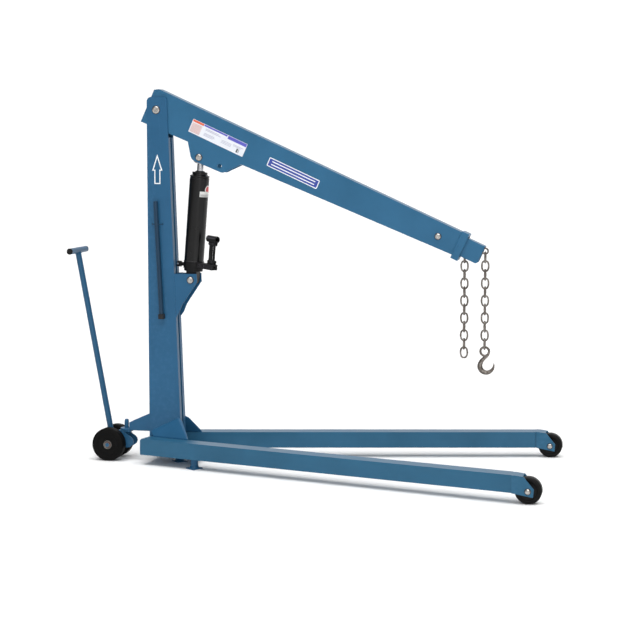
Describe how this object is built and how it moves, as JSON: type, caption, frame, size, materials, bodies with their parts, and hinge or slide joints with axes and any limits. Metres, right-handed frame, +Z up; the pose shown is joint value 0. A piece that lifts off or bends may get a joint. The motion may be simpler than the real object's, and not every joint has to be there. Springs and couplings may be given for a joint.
{
  "type": "engine hoist crane",
  "caption": "Workshop engine crane: A-shaped base on front wheels and feet, column, telescopic boom raised by a hand-pumped hydraulic ram, chain with hook, and a steered tow handle.",
  "frame": {"origin": "on the floor, under the middle of the crane's length and width, with the boom, ram and tow handle as they stand at rest", "axes": "+X from the tow wheels towards the front wheels, +Y the crane's left side, +Z up"},
  "size_m": [1.9789, 0.9764, 1.5248],
  "materials": {
    "blue_paint": "satin",
    "black_paint": "satin",
    "zinc_steel": "satin",
    "ground_steel": "polished",
    "chain_steel": "satin",
    "wheel_nylon": "satin",
    "tow_rubber": "matte",
    "plug_plastic": "matte"
  },
  "bodies": {
    "frame": {"column": "blue_paint", "base_plate": "blue_paint", "left_leg": "blue_paint", "right_leg": "blue_paint", "left_leg_fork": "blue_paint", "right_leg_fork": "blue_paint", "left_gusset": "blue_paint", "right_gusset": "blue_paint", "ram_bracket": "blue_paint", "left_foot": "blue_paint", "right_foot": "blue_paint", "centre_foot": "blue_paint", "tow_arm": "blue_paint", "kingpin": "blue_paint", "boom_pivot_pin": "zinc_steel", "ram_foot_pin": "zinc_steel", "lever_clip": "blue_paint", "lever_rest": "black_paint", "left_front_axle": "zinc_steel", "right_front_axle": "zinc_steel"},
    "left_front_roller": {"left_front_wheel": "wheel_nylon"},
    "right_front_roller": {"right_front_wheel": "wheel_nylon"},
    "boom_arm": {"boom": "blue_paint", "boom_collar": "blue_paint", "lock_pin": "zinc_steel", "ram_head_pin": "zinc_steel"},
    "boom_extension": {"extension": "blue_paint", "chain_saddle": "chain_steel", "chain_bar": "chain_steel"},
    "left_chain_a": {"left_link_1": "chain_steel"},
    "left_chain_b": {"left_link_2": "chain_steel"},
    "left_strand": {"left_chain": "chain_steel"},
    "right_chain_a": {"right_link_1": "chain_steel"},
    "right_chain_b": {"right_link_2": "chain_steel"},
    "right_strand": {"right_chain": "chain_steel"},
    "load_hook": {"hook": "chain_steel"},
    "ram": {"ram_base": "black_paint", "ram_cylinder": "black_paint", "ram_cap": "black_paint", "pump_body": "black_paint"},
    "ram_valve": {"release_valve": "black_paint"},
    "ram_piston": {"ram_rod": "ground_steel"},
    "plunger": {"pump_plunger": "black_paint"},
    "rocker_link": {"pump_link": "black_paint"},
    "socket": {"pump_socket": "black_paint"},
    "lever": {"pump_lever": "blue_paint"},
    "fork": {"tow_fork": "blue_paint", "tow_axle": "blue_paint", "axle_rings": "zinc_steel"},
    "left_tow_wheel": {"left_tow_tyre": "tow_rubber", "left_tow_hub": "zinc_steel"},
    "right_tow_wheel": {"right_tow_tyre": "tow_rubber", "right_tow_hub": "zinc_steel"},
    "tow_handle": {"handle_shaft": "blue_paint", "handle_tbar": "blue_paint", "tbar_plugs": "plug_plastic"}
  },
  "joints": [
    {"name": "boom_pivot", "type": "hinge", "parent": "frame", "child": "boom_arm", "pos_m": [-0.61885, 0, 1.4416], "axis": [0, -1, 0], "range_deg": [-4, 50]},
    {"name": "ram_tilt", "type": "hinge", "parent": "frame", "child": "ram", "pos_m": [-0.47905, 0, 0.7535], "axis": [0, 1, 0], "range_deg": [-1, 7]},
    {"name": "rod_slide", "type": "slide", "parent": "ram", "child": "ram_piston", "axis": [0.0775, 0, 0.997], "range_m": [-0.018, 0.214]},
    {"name": "extension_slide", "type": "slide", "parent": "boom_arm", "child": "boom_extension", "axis": [0.91, 0, -0.4147], "range_m": [0, 0.3]},
    {"name": "left_link_1_turn", "type": "hinge", "parent": "boom_extension", "child": "left_chain_a", "pos_m": [0.63545, 0, 0.88225], "axis": [0, -1, 0], "range_deg": [-13, 1.5]},
    {"name": "left_link_2_swing", "type": "hinge", "parent": "left_chain_a", "child": "left_chain_b", "pos_m": [0.63545, 0, 0.84825], "axis": [1, 0, 0], "range_deg": [-20, 20]},
    {"name": "left_chain_turn", "type": "hinge", "parent": "left_chain_b", "child": "left_strand", "pos_m": [0.63545, 0, 0.81425], "axis": [0, -1, 0], "range_deg": [-38, 3.5]},
    {"name": "right_link_1_turn", "type": "hinge", "parent": "boom_extension", "child": "right_chain_a", "pos_m": [0.71645, 0, 0.88375], "axis": [0, -1, 0], "range_deg": [-13, 1.5]},
    {"name": "right_link_2_swing", "type": "hinge", "parent": "right_chain_a", "child": "right_chain_b", "pos_m": [0.71645, 0, 0.84975], "axis": [1, 0, 0], "range_deg": [-20, 20]},
    {"name": "right_chain_turn", "type": "hinge", "parent": "right_chain_b", "child": "right_strand", "pos_m": [0.71645, 0, 0.81575], "axis": [0, -1, 0], "range_deg": [-38, 3.5]},
    {"name": "hook_swing", "type": "hinge", "parent": "right_strand", "child": "load_hook", "pos_m": [0.71645, 0, 0.50325], "axis": [0, -1, 0], "range_deg": [-20, 40]},
    {"name": "release_valve_turn", "type": "hinge", "parent": "ram", "child": "ram_valve", "pos_m": [-0.51368, 0, 0.81637], "axis": [-0.997, 0, 0.0775], "range_deg": [0, 180]},
    {"name": "pump_stroke", "type": "slide", "parent": "ram", "child": "plunger", "axis": [0.0775, 0, 0.997], "range_m": [-0.012, 0]},
    {"name": "socket_rock", "type": "hinge", "parent": "plunger", "child": "socket", "pos_m": [-0.38225, -0.05299, 0.90445], "axis": [-0.5283, -0.848, 0.0411], "range_deg": [0, 37]},
    {"name": "link_rock", "type": "hinge", "parent": "ram", "child": "rocker_link", "pos_m": [-0.371, -0.06359, 0.83035], "axis": [-0.5283, -0.848, 0.0411], "range_deg": [0, 3.2]},
    {"name": "lever_lift", "type": "slide", "parent": "frame", "child": "lever", "axis": [-0.0471, 0, 0.9989], "range_m": [0, 0.3]},
    {"name": "left_front_spin", "type": "hinge", "parent": "frame", "child": "left_front_roller", "pos_m": [0.93945, 0.44919, 0.05], "axis": [0, 1, 0], "continuous": true},
    {"name": "right_front_spin", "type": "hinge", "parent": "frame", "child": "right_front_roller", "pos_m": [0.93945, -0.44919, 0.05], "axis": [0, 1, 0], "continuous": true},
    {"name": "tow_steer", "type": "hinge", "parent": "frame", "child": "fork", "pos_m": [-0.77005, 0, 0.12], "axis": [0, 0, 1], "range_deg": [-60, 60]},
    {"name": "left_tow_spin", "type": "hinge", "parent": "fork", "child": "left_tow_wheel", "pos_m": [-0.83055, 0.048, 0.068], "axis": [0, 1, 0], "continuous": true},
    {"name": "right_tow_spin", "type": "hinge", "parent": "fork", "child": "right_tow_wheel", "pos_m": [-0.83055, -0.048, 0.068], "axis": [0, 1, 0], "continuous": true},
    {"name": "handle_tilt", "type": "hinge", "parent": "fork", "child": "tow_handle", "pos_m": [-0.83055, 0, 0.068], "axis": [0, -1, 0], "range_deg": [-14, 68]}
  ],
  "couplings": [
    {"joint": "ram_tilt", "follows": "boom_pivot", "ratio": 0.115},
    {"joint": "rod_slide", "follows": "boom_pivot", "m_per_rad": 0.2435},
    {"joint": "left_link_1_turn", "follows": "boom_pivot", "ratio": -0.25},
    {"joint": "left_chain_turn", "follows": "boom_pivot", "ratio": -0.75},
    {"joint": "right_link_1_turn", "follows": "boom_pivot", "ratio": -0.25},
    {"joint": "right_chain_turn", "follows": "boom_pivot", "ratio": -0.75},
    {"joint": "socket_rock", "follows": "pump_stroke", "rad_per_m": -53.1},
    {"joint": "link_rock", "follows": "pump_stroke", "rad_per_m": -4.48}
  ]
}
